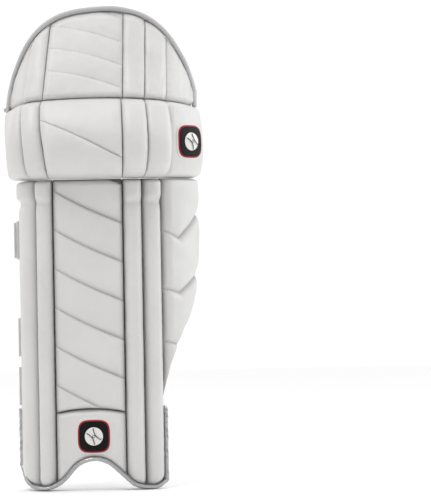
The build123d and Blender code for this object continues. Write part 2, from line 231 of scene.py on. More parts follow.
# ------------------------------------------------------------------ meshes
def new_object(name, points, faces, material, uv=None, seam=None, caps=()):
    """Mesh object from arrays of points, four-sided faces and other faces (caps), smooth
    shaded, with its own UV map and a seam attribute that is 1 in the sewn valleys: how much
    shade is painted there."""
    mesh = bpy.data.meshes.new(name)
    mesh.from_pydata(np.asarray(points).tolist(), [], faces.tolist() + [list(cap) for cap in caps])
    mesh.polygons.foreach_set("use_smooth", np.ones(len(mesh.polygons), bool))
    if uv is not None:
        layer = mesh.uv_layers.new(name="UVMap")
        corners = np.zeros(len(mesh.loops), np.int64)
        mesh.loops.foreach_get("vertex_index", corners)
        layer.data.foreach_set("uv", np.asarray(uv, np.float32)[corners].ravel())
    if seam is not None:
        values = mesh.attributes.new("seam", "FLOAT", "POINT").data
        values.foreach_set("value", seam.astype(np.float32).ravel())
    mesh.update()
    obj = bpy.data.objects.new(name, mesh)
    bpy.context.scene.collection.objects.link(obj)
    obj.data.materials.append(material)
    return obj


def shell_faces(nu, nv):
    """Faces of a closed shell: an outer grid, the same grid inside facing the other way, and
    a wall round the rim."""
    index = np.arange(nu * nv).reshape(nu, nv)
    a, b, c, d = index[:-1, :-1], index[1:, :-1], index[1:, 1:], index[:-1, 1:]
    outer = np.stack([a, b, c, d], -1).reshape(-1, 4)
    inner = outer[:, ::-1] + nu * nv
    rim = np.concatenate([index[:, 0], index[-1, 1:], index[-2::-1, -1], index[0, -2:0:-1]])
    after = np.roll(rim, -1)
    wall = np.stack([after, rim, rim + nu * nv, after + nu * nv], -1)
    return np.concatenate([outer, inner, wall])


def padded(name, spans, heights, depth, back, material=None, grid=(60, 120), seam=None, groove=0.9):
    """Padded piece: u runs across from spans[0] to spans[1], v runs up from heights[0] to
    heights[1], and a few rounds settle s and z where each edge depends on the other.
    depth(s, z, u, v) gives its outer face and back its sewn face. The outer face puckers by
    PUCKER exp(-edge / 6), and the seam attribute, the painted shade of the valleys, is
    groove exp(-edge / 1.6)."""
    u = np.linspace(0, 1, grid[0])
    v = np.linspace(0, 1, grid[1])
    u = (1 - np.cos(math.pi * u)) / 2
    v = v - 0.12 * np.sin(2 * math.pi * v) / (2 * math.pi)
    u, v = np.meshgrid(u, v, indexing="ij")
    z = KNEE_FOLD + 0 * u
    for _ in range(6):
        left, right = edges(spans, z)
        s = left + GAP + u * (right - left - 2 * GAP)
        low, high = edges(heights, s)
        z = low + v * (high - low)
    edge = np.minimum(np.minimum(s - left, right - s), np.minimum(z - low, high - z))
    out = depth(s, z, u, v) + PUCKER * np.exp(-edge / 6.0) * uneven(s, z, name + "pucker", 10)
    inside = np.maximum(back(s, z) if callable(back) else back + 0 * s, out + 0.4)
    points = np.concatenate([place(s, out, z).reshape(-1, 3), place(s, inside, z).reshape(-1, 3)])
    uv = np.stack([s, z], -1).reshape(-1, 2) * MAP
    valley = groove * np.exp(-edge / 1.6)
    if seam is not None:
        valley = np.maximum(valley, seam(s, z, u, v))
    both = np.concatenate([valley.ravel(), valley.ravel()])
    return new_object(name, points, shell_faces(*grid), material or WHITE, np.concatenate([uv, uv]), both)


def carried(rows, sides):
    """Faces of a profile of so many sides carried along so many rows, each face joining two
    neighbours of one row to those of the next, and the two end rings that close it."""
    index = np.arange(rows * sides).reshape(rows, sides)
    after = np.roll(index, -1, 1)
    faces = np.stack([index[:-1], index[1:], after[1:], after[:-1]], -1).reshape(-1, 4)
    return faces, [range(sides), range(rows * sides - 1, (rows - 1) * sides - 1, -1)]


def tube_mesh(path, radius, sides, flatten, normals):
    """Points, faces, end caps and UV of a closed tube: at each point of the path, an ellipse
    radius * (cos a * side + flatten * sin a * normal), where side is the path's direction
    crossed with the given normal. Its ends are brought to a point."""
    path = np.asarray(path, float)
    radius = np.broadcast_to(radius, len(path)).astype(float).copy()
    radius[0] = radius[-1] = 1e-5
    along = unit(np.gradient(path, axis=0))
    side = unit(np.cross(along, np.broadcast_to(normals, path.shape)))
    up = np.cross(side, along)
    angle = np.linspace(0, 2 * math.pi, sides, endpoint=False)
    cos, sin = np.cos(angle)[None, :, None], np.sin(angle)[None, :, None]
    points = path[:, None] + radius[:, None, None] * (cos * side[:, None] + flatten * sin * up[:, None])
    faces, caps = carried(len(path), sides)
    uv = np.stack(np.broadcast_arrays(run_length(path)[:, None] / MM * MAP, angle[None] / (2 * math.pi)), -1)
    return points.reshape(-1, 3), faces, caps, uv.reshape(-1, 2)


def tube(name, path, radius, material, sides=14, flatten=1.0, normals=(0.0, 0.0, 1.0)):
    """Object of one closed tube round a path, as tube_mesh works it out."""
    points, faces, caps, uv = tube_mesh(path, radius, sides, flatten, normals)
    return new_object(name, points, faces, material, uv, caps=caps)


# ------------------------------------------------------------------ materials
def group_sockets(group, inputs, outputs):
    """Named inputs, with their defaults, and named outputs of a shader node group."""
    for name, kind, value in inputs:
        socket = group.interface.new_socket(name, in_out="INPUT", socket_type=kind)
        socket.default_value = value
    for name, kind in outputs:
        group.interface.new_socket(name, in_out="OUTPUT", socket_type=kind)


def math_node(tree, operation, a, b=None, clamp=False):
    """Math node of two values, each a socket or a number."""
    node = tree.nodes.new("ShaderNodeMath")
    node.operation = operation
    node.use_clamp = clamp
    for socket, value in zip(node.inputs, (a, b)):
        if value is None:
            continue
        if isinstance(value, (int, float)):
            socket.default_value = value
        else:
            tree.links.new(value, socket)
    return node.outputs[0]


def mix_colour(tree, factor, a, b):
    """Mix of two colours, each a socket or a value."""
    node = tree.nodes.new("ShaderNodeMix")
    node.data_type = "RGBA"
    for socket, value in zip((node.inputs["Factor"], node.inputs[6], node.inputs[7]), (factor, a, b)):
        if hasattr(value, "links"):
            tree.links.new(value, socket)
        else:
            socket.default_value = value
    return node.outputs[2]


def noise(tree, vector, scale, detail=3.0, roughness=0.5):
    """Noise texture's factor at a scale per metre."""
    node = tree.nodes.new("ShaderNodeTexNoise")
    node.inputs["Scale"].default_value = scale
    node.inputs["Detail"].default_value = detail
    node.inputs["Roughness"].default_value = roughness
    tree.links.new(vector, node.inputs["Vector"])
    return node.outputs["Fac"]


def grain_group():
    """Coated-hide grain: cells about a millimetre across with fine pores, mottled colour with
    shade painted in the sewn valleys, and roughness that follows the mottling."""
    group = bpy.data.node_groups.new("hide_grain", "ShaderNodeTree")
    inputs = [("Vector", "NodeSocketVector", (0, 0, 0)), ("Colour", "NodeSocketColor", (1, 1, 1, 1)),
              ("Shade", "NodeSocketColor", (0.6, 0.6, 0.6, 1)), ("Seam", "NodeSocketFloat", 0.0),
              ("Cell", "NodeSocketFloat", 900.0), ("Gloss", "NodeSocketFloat", 0.45)]
    outputs = [("Colour", "NodeSocketColor"), ("Roughness", "NodeSocketFloat"), ("Height", "NodeSocketFloat")]
    group_sockets(group, inputs, outputs)
    inside, outside = group.nodes.new("NodeGroupInput"), group.nodes.new("NodeGroupOutput")
    cells = group.nodes.new("ShaderNodeTexVoronoi")
    cells.feature = "DISTANCE_TO_EDGE"
    group.links.new(inside.outputs["Vector"], cells.inputs["Vector"])
    group.links.new(inside.outputs["Cell"], cells.inputs["Scale"])
    edge = math_node(group, "MULTIPLY", cells.outputs["Distance"], 3.0, clamp=True)
    pores = noise(group, inside.outputs["Vector"], 2600.0, 2.0)
    domes = math_node(group, "MULTIPLY", edge, 0.7)
    height = math_node(group, "ADD", domes, math_node(group, "MULTIPLY", pores, 0.5))
    group.links.new(height, outside.inputs["Height"])
    mottle = noise(group, inside.outputs["Vector"], 14.0, 4.0, 0.6)
    shade = math_node(group, "MULTIPLY", math_node(group, "SUBTRACT", mottle, 0.4), 0.35, clamp=True)
    # Painted shade: the seam attribute greys the colour towards Shade in the sewn valleys, and the darker of
    # it and the mottle is kept.
    valley = math_node(group, "MULTIPLY", inside.outputs["Seam"], 0.75, clamp=True)
    mottle_and_painted_shade = math_node(group, "MAXIMUM", shade, valley)
    colour = mix_colour(group, mottle_and_painted_shade, inside.outputs["Colour"], inside.outputs["Shade"])
    group.links.new(colour, outside.inputs["Colour"])
    rough = math_node(group, "ADD", inside.outputs["Gloss"], math_node(group, "MULTIPLY", mottle, 0.16))
    dull = math_node(group, "MULTIPLY", inside.outputs["Seam"], 0.2)
    rough = math_node(group, "ADD", rough, dull, clamp=True)
    group.links.new(rough, outside.inputs["Roughness"])
    return group


def weave_group():
    """Plain weave from two crossed waves on the piece's own map, with mottled colour."""
    group = bpy.data.node_groups.new("plain_weave", "ShaderNodeTree")
    inputs = [("Vector", "NodeSocketVector", (0, 0, 0)), ("Colour", "NodeSocketColor", (1, 1, 1, 1)),
              ("Shade", "NodeSocketColor", (0.6, 0.6, 0.6, 1)), ("Threads", "NodeSocketFloat", 90.0)]
    group_sockets(group, inputs, [("Colour", "NodeSocketColor"), ("Height", "NodeSocketFloat")])
    inside, outside = group.nodes.new("NodeGroupInput"), group.nodes.new("NodeGroupOutput")
    parts = group.nodes.new("ShaderNodeSeparateXYZ")
    group.links.new(inside.outputs["Vector"], parts.inputs[0])
    waves = []
    for axis in ("X", "Y"):
        angle = math_node(group, "MULTIPLY", parts.outputs[axis], inside.outputs["Threads"])
        waves.append(math_node(group, "SINE", math_node(group, "MULTIPLY", angle, 2 * math.pi)))
    over = math_node(group, "ADD", math_node(group, "MULTIPLY", waves[0], waves[1]), 1.0)
    over = math_node(group, "MULTIPLY", over, 0.5, clamp=True)
    group.links.new(over, outside.inputs["Height"])
    mottle = noise(group, inside.outputs["Vector"], 6.0, 4.0, 0.7)
    shade = math_node(group, "MULTIPLY", math_node(group, "SUBTRACT", 1.0, over), 0.35)
    shade = math_node(group, "ADD", shade, math_node(group, "MULTIPLY", mottle, 0.25), clamp=True)
    group.links.new(mix_colour(group, shade, inside.outputs["Colour"], inside.outputs["Shade"]),
                    outside.inputs["Colour"])
    return group


GRAIN = grain_group()
WEAVE = weave_group()


def blank_material(name):
    """Material with only a shader and an output; returns it, its tree and its shader."""
    material = bpy.data.materials.new(name)
    material.use_nodes = True
    tree = material.node_tree
    return material, tree, tree.nodes["Principled BSDF"]


def set_inputs(node, values):
    """Sets a node's inputs by name."""
    for name, value in values.items():
        node.inputs[name].default_value = value


def group_node(tree, shader, group, source, values):
    """Node of a shared group with its values set, fed by a texture coordinate; its colour
    feeds the shader."""
    coordinates = tree.nodes.new("ShaderNodeTexCoord")
    node = tree.nodes.new("ShaderNodeGroup")
    node.node_tree = group
    set_inputs(node, values)
    tree.links.new(coordinates.outputs[source], node.inputs["Vector"])
    tree.links.new(node.outputs["Colour"], shader.inputs["Base Color"])
    return node


def bump(tree, shader, height, strength, distance):
    """Bump node of a height that feeds the shader's normal."""
    node = tree.nodes.new("ShaderNodeBump")
    set_inputs(node, {"Strength": strength, "Distance": distance})
    tree.links.new(height, node.inputs["Height"])
    tree.links.new(node.outputs["Normal"], shader.inputs["Normal"])


def coated_hide(name, colour, shade, gloss=0.45, metallic=0.0, cell=900.0, depth=0.00012, coat=0.0, sheen=0.0,
                specular=0.5):
    """Coated synthetic hide with the shared grain on Object coordinates."""
    material, tree, shader = blank_material(name)
    # The seam attribute sets the shade painted into the sewn valleys.
    seam = tree.nodes.new("ShaderNodeAttribute")
    seam.attribute_name = "seam"
    node = group_node(tree, shader, GRAIN, "Object",
                      {"Colour": (*colour, 1), "Shade": (*shade, 1), "Cell": cell, "Gloss": gloss})
    tree.links.new(seam.outputs["Fac"], node.inputs["Seam"])
    tree.links.new(node.outputs["Roughness"], shader.inputs["Roughness"])
    set_inputs(shader, {"Metallic": metallic, "Specular IOR Level": specular, "Coat Weight": coat,
                        "Coat Roughness": 0.3, "Sheen Weight": sheen})
    bump(tree, shader, node.outputs["Height"], 0.5, depth)
    return material


def woven(name, colour, shade, threads=90.0, depth=0.0003, rough=0.85, sheen=0.3, source="UV"):
    """Woven cloth with the shared weave on the piece's own map (UV), or on Object coordinates
    for pieces that have no map."""
    material, tree, shader = blank_material(name)
    node = group_node(tree, shader, WEAVE, source,
                      {"Colour": (*colour, 1), "Shade": (*shade, 1), "Threads": threads})
    set_inputs(shader, {"Roughness": rough, "Sheen Weight": sheen})
    bump(tree, shader, node.outputs["Height"], 0.8, depth)
    return material


def speckled(name, colour, shade, scale, rough=0.7, depth=0.0004, metallic=0.0):
    """Plain solid material with two-tone speckle and a matching bump, for boards and cores."""
    material, tree, shader = blank_material(name)
    coordinates = tree.nodes.new("ShaderNodeTexCoord")
    fac = noise(tree, coordinates.outputs["Object"], scale, 5.0, 0.65)
    tree.links.new(mix_colour(tree, fac, (*colour, 1), (*shade, 1)), shader.inputs["Base Color"])
    set_inputs(shader, {"Roughness": rough, "Metallic": metallic})
    bump(tree, shader, fac, 0.6, depth)
    return material


# Each hide's second colour serves both as its mottle and as the shade painted into its sewn valleys.
WHITE = coated_hide("white_hide", (0.70, 0.694, 0.686), (0.30, 0.286, 0.268), gloss=0.32, coat=0.08)
GREY = coated_hide("grey_piping_hide", (0.52, 0.52, 0.525), (0.30, 0.30, 0.31), gloss=0.3, coat=0.2)
SILVER = coated_hide("silver_binding_hide", (0.47, 0.47, 0.48), (0.24, 0.24, 0.25), gloss=0.2, metallic=0.9,
                     cell=1400.0, depth=0.00006, coat=0.3)
LINING = woven("lining_cloth", (0.80, 0.80, 0.79), (0.55, 0.55, 0.55), threads=60.0)
STRAP = woven("strap_cloth", (0.78, 0.76, 0.75), (0.52, 0.50, 0.49), threads=75.0)
TAB = woven("tab_cloth", (0.78, 0.76, 0.75), (0.52, 0.50, 0.49), threads=750.0, source="Object")
FOAM = speckled("foam_core", (0.78, 0.76, 0.66), (0.62, 0.60, 0.50), 700.0, rough=0.95)
CANE = speckled("cane_rod", (0.70, 0.52, 0.30), (0.50, 0.34, 0.17), 260.0, rough=0.5)
SHEET = speckled("board_sheet", (0.66, 0.66, 0.64), (0.52, 0.52, 0.50), 420.0, rough=0.55)
HOOK = speckled("hook_tape", (0.74, 0.74, 0.73), (0.50, 0.50, 0.50), 1500.0, rough=0.8, depth=0.0008)
BLACK = coated_hide("badge_black", (0.006, 0.006, 0.007), (0.012, 0.012, 0.012), gloss=0.42, specular=0.15)
RED = coated_hide("badge_red", (0.36, 0.012, 0.016), (0.2, 0.01, 0.012), gloss=0.4, specular=0.25)
MOTIF = coated_hide("badge_white", (0.82, 0.81, 0.80), (0.6, 0.6, 0.6), gloss=0.28, coat=0.3)
THREAD = coated_hide("white_thread", (0.66, 0.655, 0.65), (0.45, 0.45, 0.45), gloss=0.5, sheen=0.3)


# ------------------------------------------------------------------ shin
def attach(obj, body, nodes=(), across=None):
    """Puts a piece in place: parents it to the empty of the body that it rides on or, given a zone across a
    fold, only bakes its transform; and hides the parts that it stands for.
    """
    if across:
        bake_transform(obj)
    else:
        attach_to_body(obj, body)
    if nodes:
        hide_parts(*nodes)
    return obj


KNEE_FOLD_ZONE = ((0, 0, (KNEE_FOLD - 1) * MM), (0, 0, (KNEE_FOLD + 28) * MM), "shin")
FLAP_FOLD_ZONE = ((0, 0, (FLAP_FOLD - 2) * MM), (0, 0, (FLAP_FOLD + 30) * MM), "knee")
SEAM_COUNT = 6
SEAM_TOP = 421.0
SEAM_PITCH = 54.4
SEAM_DROP = 48.0
CENTRE_STAND = 12.2           # the centre panel's stand at its seams
QUILT_STAND = 3.4             # and how much further a quilt swells, doubled at the right
INSTEP_STAND = 15.0


def quilt(above, pitch, ridge=4.0):
    """Height of a quilt between two seams, from 0 to 1, over its distance above the lower
    one: 1 - (1 - t)^2.2 as it climbs out of the lower seam, then a quarter-round ridge that
    drops into the upper one."""
    t = np.clip(above / pitch, 0, 1)
    return (1 - (1 - t) ** 2.2) * rounded(pitch - above, ridge)


def between(lines, z, last):
    """Distance above the highest seam below z and the distance between the two seams round
    it. Below the lowest seam the distance is measured from a line that far under it."""
    lines = np.concatenate([lines, lines[-1:] - last, lines[-1:] - 3 * last])
    tops = np.concatenate([lines[:1] + last, lines[:-1]])
    count = (z[None] < lines).sum(0)
    low = np.take_along_axis(lines, count[None], 0)[0]
    high = np.take_along_axis(tops, count[None], 0)[0]
    return z - low, high - low


def panel_share(s):
    """How far across the shin's centre panel s lies, from 0 to 1."""
    return (s - CENTRE_LEFT) / (CENTRE_RIGHT - CENTRE_LEFT)


def seam_fall(s):
    """Fall of a diagonal seam across the panel: its drop times 1.25 u - 0.25 u^2."""
    u = panel_share(s)
    return SEAM_DROP * (1.25 * u - 0.25 * u * u)


def shin_seams(s, z):
    """Distance above the diagonal seam below, and the pitch to the next: equal steps down
    from the top seam, each falling as seam_fall."""
    fall = seam_fall(s)
    lines = SEAM_TOP - SEAM_PITCH * np.arange(SEAM_COUNT)[:, None, None] - fall[None]
    return between(lines, z, SEAM_PITCH)


def centre_depth(s, z, u, v):
    """Outer face of the shin's centre panel: the seam's depth less a stand with quarter-round
    edges. The stand is a constant, a half sine across and the quilt's swell, with fine
    gathers that fade as exp(-distance / 5) from each diagonal seam."""
    low, high = instep_seam(s), KNEE_FOLD
    side = rounded(np.minimum(s - CENTRE_LEFT, CENTRE_RIGHT - s), 9.0)
    ends = rounded(z - low, 8.0) * rounded(high - z, 10.0)
    above, pitch = shin_seams(s, z)
    deep = QUILT_STAND + QUILT_STAND * smooth(u * 1.1)
    stand = CENTRE_STAND + 1.2 * np.sin(math.pi * u) + 0.5 * uneven(s, z, "centre", 60)
    stand = stand + deep * quilt(above, pitch)
    near = np.exp(-np.minimum(above, pitch - above) / 5.0)
    stand = stand + 0.5 * near * uneven(s, z, "pucker", 11)
    return SEAM_DEPTH - stand * side * ends


def centre_valley(s, z, u, v):
    """Shade of the diagonal seams: 0.8 exp(-distance / 2.5), over half that length below."""
    above, pitch = shin_seams(s, z)
    return 0.8 * np.exp(-np.minimum(above, (pitch - above) * 2) / 2.5)


attach(padded("centre_panel_cover", (CENTRE_LEFT, CENTRE_RIGHT), (instep_seam, KNEE_FOLD - GAP), centre_depth,
              COVER_BACK, grid=(90, 330), seam=centre_valley),
       "shin", ["shin_centre_panel"])


def cover_foot(s):
    """Lower edge of the shin's covers: the foot's edge raised by the tuck in the binding."""
    return foot(s) + FOOT_TUCK


def under_instep_seam(s):
    """Upper edge of the instep panel: the seam above it, less the gap."""
    return instep_seam(s) - GAP


def instep_depth(s, z, u, v):
    """Outer face of the instep panel, tucked under the binding at its arched lower edge: the
    seam's depth less a constant stand and a half sine across, with quarter-round edges."""
    side = rounded(np.minimum(s - CENTRE_LEFT, CENTRE_RIGHT - s), 9.0)
    ends = rounded(z - cover_foot(s), 9.0) * rounded(instep_seam(s) - z, 9.0)
    stand = INSTEP_STAND + 1.2 * np.sin(math.pi * u) + 0.4 * uneven(s, z, "instep", 50)
    return SEAM_DEPTH - stand * side * ends


attach(padded("instep_cover", (CENTRE_LEFT, CENTRE_RIGHT), (cover_foot, under_instep_seam),
              instep_depth, COVER_BACK, grid=(80, 90), groove=0.5),
       "shin", ["instep_panel"])

CAP_LOW = 404.0               # the puffed cap of a bolster starts here, over a dimple
CAP_STAND = 3.4
DIMPLE_DEPTH = 4.2
CORE_INSET = 5.5              # a bolster's core lies this far under its cover's crown


def bolster_depth(name, crown, power):
    """Outer face of a bolster: a full round-edged roll with a puffed cap under the knee and
    a dimple below it, where the cover is gathered."""
    def depth(s, z, u, v):
        """The board's face less crown, cap and slack times the superellipse section."""
        t = np.abs(2 * u - 1)
        ends = rounded(z - cover_foot(s), 13.0) * rounded(KNEE_FOLD - z, 7.0)
        dimple = DIMPLE_DEPTH * np.exp(-((z - CAP_LOW + 2) / 6) ** 2) * (1 - 0.6 * t * t)
        cap = CAP_STAND * smooth((z - CAP_LOW) / 9) - dimple
        slack = 0.7 * uneven(s * 0.3, z, name, 90) + 0.3 * uneven(s, z, name + "fine", 17)
        return BOARD - 1 - (crown - 1 + cap + slack) * superellipse(t, power) * ends
    return depth


def bolster_core_depth(crown):
    """Outer face of a bolster's foam core, an inset under its cover's crown."""
    def depth(s, z, u, v):
        """The board's face less the core's crown times a superellipse of power 3."""
        return BOARD - 1 - (crown - CORE_INSET) * superellipse(2 * u - 1, 3) * rounded(z - CORE_FOOT, 9.0)
    return depth


def centre_core_depth(s, z, u, v):
    """Outer face of the centre panel's foam, 8 mm thick with quarter-round sides."""
    return SEAM_DEPTH - 8.0 * rounded(np.minimum(s - CENTRE_LEFT, CENTRE_RIGHT - s) - 4, 6.0)


BOLSTERS = {
    "outer_left_bolster": (SHIN_LEFT_EDGE - 4, LEFT_SEAM, 24.5, 3.0),
    "inner_left_bolster": (LEFT_SEAM, CENTRE_LEFT, 24.5, 2.5),
    "inner_right_bolster": (CENTRE_RIGHT, RIGHT_SEAM, 25.0, 2.5),
    "outer_right_bolster": (RIGHT_SEAM, SHIN_RIGHT_EDGE, 24.5, 2.5),
}
CORE_FOOT = 52.0
for name, (left, right, crown, power) in BOLSTERS.items():
    attach(padded(name + "_cover", (left, right), (cover_foot, KNEE_FOLD - GAP),
                  bolster_depth(name, crown, power), COVER_BACK, grid=(44, 300)),
           "shin", [name])
attach(padded("centre_core", (CENTRE_LEFT + 4, CENTRE_RIGHT - 4), (124.0, KNEE_FOLD - 12), centre_core_depth,
              CORE_BACK, FOAM, grid=(20, 40)),
       "shin", ["shin_centre_foam"])
for name, (left, right, crown, power) in BOLSTERS.items():
    attach(padded(name + "_core", (left + 5, right - 4), (CORE_FOOT, KNEE_FOLD - 36),
                  bolster_core_depth(crown), CORE_BACK, FOAM, grid=(18, 40)),
           "shin", ["bolster_foam_cores"])

# ------------------------------------------------------------------ knee
KNEE_CROWN = 2.0              # crowns lie this far in front of the knee's stand
KNEE_VALLEY = 8.5             # and sewn valleys this far behind it


def knee_fall(z):
    """How far down the knee a height is: 0 at the flap's fold and 1 at the shin's."""
    return np.clip((FLAP_FOLD - z) / (FLAP_FOLD - KNEE_FOLD), 0, 1)


def knee_seam(top, middle, bottom):
    """Seam down the knee: the parabola over its fall through three values of s."""
    def line(z):
        """top (1 - t)(1 - 2t) + middle 4t (1 - t) + bottom t (2t - 1), for the fall t."""
        t = knee_fall(z)
        return top * (1 - t) * (1 - 2 * t) + middle * 4 * t * (1 - t) + bottom * t * (2 * t - 1)
    return line


knee_roll_left = knee_seam(-98.0, -82.0, -84.0)
knee_centre_left = knee_seam(-66.0, -61.5, -56.0)
knee_right_seam = knee_seam(83.0, 77.5, 78.5)
knee_right_edge = knee_seam(118.0, 109.5, 111.0)


def diagonal_seam(s):
    """Height of the seam between the two centre knee pads."""
    u = (s + 66) / 113.5
    return 519 - 55 * u + 2.5 * np.sin(math.pi * u)


def knee_piece_depth(name, reach, spans, left_radius=9.0, right_radius=9.0, power=None):
    """Outer face of a knee piece. Its stand in front of the outer line is reach times the
    knee's profile; the crown lies KNEE_CROWN in front of it, the valleys KNEE_VALLEY behind,
    and the section goes from one to the other."""
    def depth(s, z, u, v):
        """Between the crown and the valley by the section, and back to the seam at the ends."""
        profile = knee_profile(z)
        stand = (reach(s) if callable(reach) else reach) * profile
        top = flap_fold(s)
        ends = rounded(z - KNEE_FOLD, 8.0) * rounded(top - z, 9.0)
        section = section_across(s, z, u, spans, left_radius, right_radius, power)
        crown = stand + KNEE_CROWN + 0.7 * uneven(s, z, name, 55) + 0.25 * uneven(s, z, name + "f", 15)
        valley = np.minimum(stand - KNEE_VALLEY, crown - 3)
        return -(crown * ends - (crown - valley) * (1 - section) * (0.3 + 0.7 * ends)) + 10.0 * (1 - ends)
    return depth


def knee_back(s, z):
    """Inner face of the knee's covers: 22 mm less 12 mm times the knee's profile."""
    return 22.0 - 12 * knee_profile(z)


DIVE = 6.0                    # depth of the diagonal seam
KNEE_GROOVE = 0.25            # shade of the knee's valleys
centre_spans = (knee_centre_left, CENTRE_RIGHT)
whole_knee = knee_piece_depth("knee_centre", 38.0, centre_spans, 12.0, 9.0)


def centre_knee_depth(s, z, u, v):
    """Outer face of the knee's centre: one bulging block with a diagonal seam, sunk by DIVE
    exp(-distance / 13) above it and exp(-distance / 2.2) below it, where it stands as a
    ridge, more so to the right."""
    distance = z - diagonal_seam(s)
    across = 0.35 + 0.65 * smooth((s + 60) / 90)
    dive = DIVE * np.exp(-np.abs(distance) / np.where(distance > 0, 13.0, 2.2))
    return whole_knee(s, z, u, v) + dive * across * rounded(CENTRE_RIGHT - s, 12.0)


def upper_low(s):
    """Lower edge of the upper pad: the diagonal seam plus half the gap."""
    return diagonal_seam(s) + GAP / 2


def lower_high(s):
    """Upper edge of the lower pad: the diagonal seam less half the gap."""
    return diagonal_seam(s) - GAP / 2


ROLL_SPANS = {
    "knee_inner_roll": ((CENTRE_RIGHT, knee_right_seam), 35.0),
    "knee_outer_roll": ((knee_right_seam, knee_right_edge), 31.0),
    "knee_left_roll": ((knee_roll_left, knee_centre_left), 27.0),
}
knee_pieces = {
    "upper_knee_pad": (centre_spans, (upper_low, flap_fold), centre_knee_depth, (90, 90)),
    "lower_knee_pad": (centre_spans, (KNEE_FOLD + GAP, lower_high), centre_knee_depth, (90, 90)),
}
for name, (spans, reach) in ROLL_SPANS.items():
    depth = knee_piece_depth(name, reach, spans, power=2.5)
    knee_pieces[name] = (spans, (KNEE_FOLD + GAP, flap_fold), depth, (46, 120))
for name, (spans, heights, depth, grid) in knee_pieces.items():
    attach(padded(name + "_cover", spans, heights, depth, knee_back, grid=grid, groove=KNEE_GROOVE),
           "knee", [name], across=KNEE_FOLD_ZONE)


def left_reach(s):
    """Stand of the knee's left panel: 25 mm at its seam with the roll, then a smoothstep
    down to 3 mm over the next 75 mm."""
    return 3.0 + 22.0 * smooth((s + 157) / 75)


def knee_left_edge(z):
    """Free edge of the knee's left panel: it draws in by 13 mm, as the square of the fall."""
    return KNEE_LEFT_EDGE + 13.0 * knee_fall(z) ** 2


left_side = (knee_left_edge, knee_roll_left)
right_side = (knee_right_edge, WING_EDGE + 2)
SIDE_BACK = 21.5
SIDES = {
    "knee_left_panel": (left_side, left_reach, 9.0, 9.0, (90, 110)),
    "knee_wing": (right_side, 9.0, 10.0, 9.0, (80, 110)),
}
side_depths = {}
for name, (span, reach, left_radius, right_radius, grid) in SIDES.items():
    side_depths[name] = knee_piece_depth(name, reach, span, left_radius, right_radius)
    attach(padded(name + "_cover", span, (KNEE_FOLD + GAP, flap_fold), side_depths[name], SIDE_BACK,
                  grid=grid, groove=KNEE_GROOVE),
           "knee", [name], across=KNEE_FOLD_ZONE)

# ------------------------------------------------------------------ flap
FLAP_CENTRE_LEFT = -60.0
FLAP_CENTRE_RIGHT = 50.0
FLAP_SEAM_TOPS = np.array([654.0, 621.0, 588.0])
FLAP_SEAM_DROP = 27.0


def flap_top(s):
    """Upper edge of the flap's panels, inside the piping."""
    return arch(s) - 4.5


def flap_seams(s, z):
    """Distance above the flap's seam below, and the pitch to the next. Each of the three
    falls to the right by its drop times u^1.7."""
    u = (s - FLAP_CENTRE_LEFT) / (FLAP_CENTRE_RIGHT - FLAP_CENTRE_LEFT)
    lines = FLAP_SEAM_TOPS[:, None, None] - FLAP_SEAM_DROP * np.clip(u, 0, 1)[None] ** 1.7
    return between(lines, z, 36.0)


def flap_line(low, high):
    """Seam up the flap: a straight line over height between two values of s, the first at
    the fold and the second 112 mm above it."""
    def line(z):
        """low + (high - low) times the share of those 112 mm."""
        return low + (high - low) * (z - FLAP_FOLD) / 112.0
    return line


FLAP_VALLEY = 6.0
flap_left_seam = flap_line(-101.0, -76.0)
flap_centre_left = flap_line(-63.0, -53.0)
flap_right_seam = flap_line(83.0, 83.0)
flap_right_edge = flap_line(118.0, 118.0)


def flap_depth(name, crown, spans, left_radius, right_radius, power=None, seams=False, wrinkle=0.0):
    """Outer face of a flap piece. It lies crown plus unevenness in front of the outer line,
    and falls back to FLAP_VALLEY by its section and quarter-round ends. It sinks towards
    seams as 1 less the quilt's height, and in slack places by wrinkle exp(-3.5 fold), where
    fold is the size of a slanted wave."""
    def depth(s, z, u, v):
        """The valley less the height times section and ends, sunk by 6 mm at the ends."""
        section = section_across(s, z, u, spans, left_radius, right_radius, power)
        ends = rounded(z - flap_fold(s), 9.0) * rounded(flap_top(s) - z, 12.0)
        height = crown + 0.9 * uneven(s, z, name, 60) + 0.35 * uneven(s, z, name + "f", 18)
        if seams:
            above, pitch = flap_seams(s, z)
            height = height + (1.6 + 2.8 * smooth(u)) * (quilt(above, pitch) - 1)
        fold = np.abs(uneven(s - 0.25 * z, 0.25 * z, name + "w", 30))
        height = height - wrinkle * np.exp(-3.5 * fold) * smooth(0.5 + 1.5 * uneven(s, z, name + "v", 70))
        return FLAP_VALLEY - (FLAP_VALLEY + height) * section * ends + 6.0 * (1 - ends)
    return depth


flap_pieces = {
    "flap_centre_panel": ((flap_centre_left, FLAP_CENTRE_RIGHT), 1.0, 9.0, 7.0, None, True, 0.0, (100, 130)),
    "flap_left_roll": ((flap_left_seam, flap_centre_left), 1.5, 7.0, 7.0, 2.6, False, 1.6, (44, 110)),
    "flap_inner_roll": ((FLAP_CENTRE_RIGHT, flap_right_seam), 2.5, 7.0, 7.0, 2.8, False, 1.6, (46, 120)),
    "flap_outer_roll": ((flap_right_seam, flap_right_edge), 2.0, 7.0, 7.0, 2.8, False, 1.6, (46, 120)),
    "flap_left_wing": ((KNEE_LEFT_EDGE + 3, flap_left_seam), -3.0, 5.0, 10.0, None, False, 1.0, (60, 80)),
    "flap_right_wing": ((flap_right_edge, WING_EDGE - 3), -2.0, 10.0, 5.0, None, False, 1.5, (70, 100)),
}


def above_flap_fold(s):
    """Lower edge of the flap's panels: the fold's seam plus the gap."""
    return flap_fold(s) + GAP


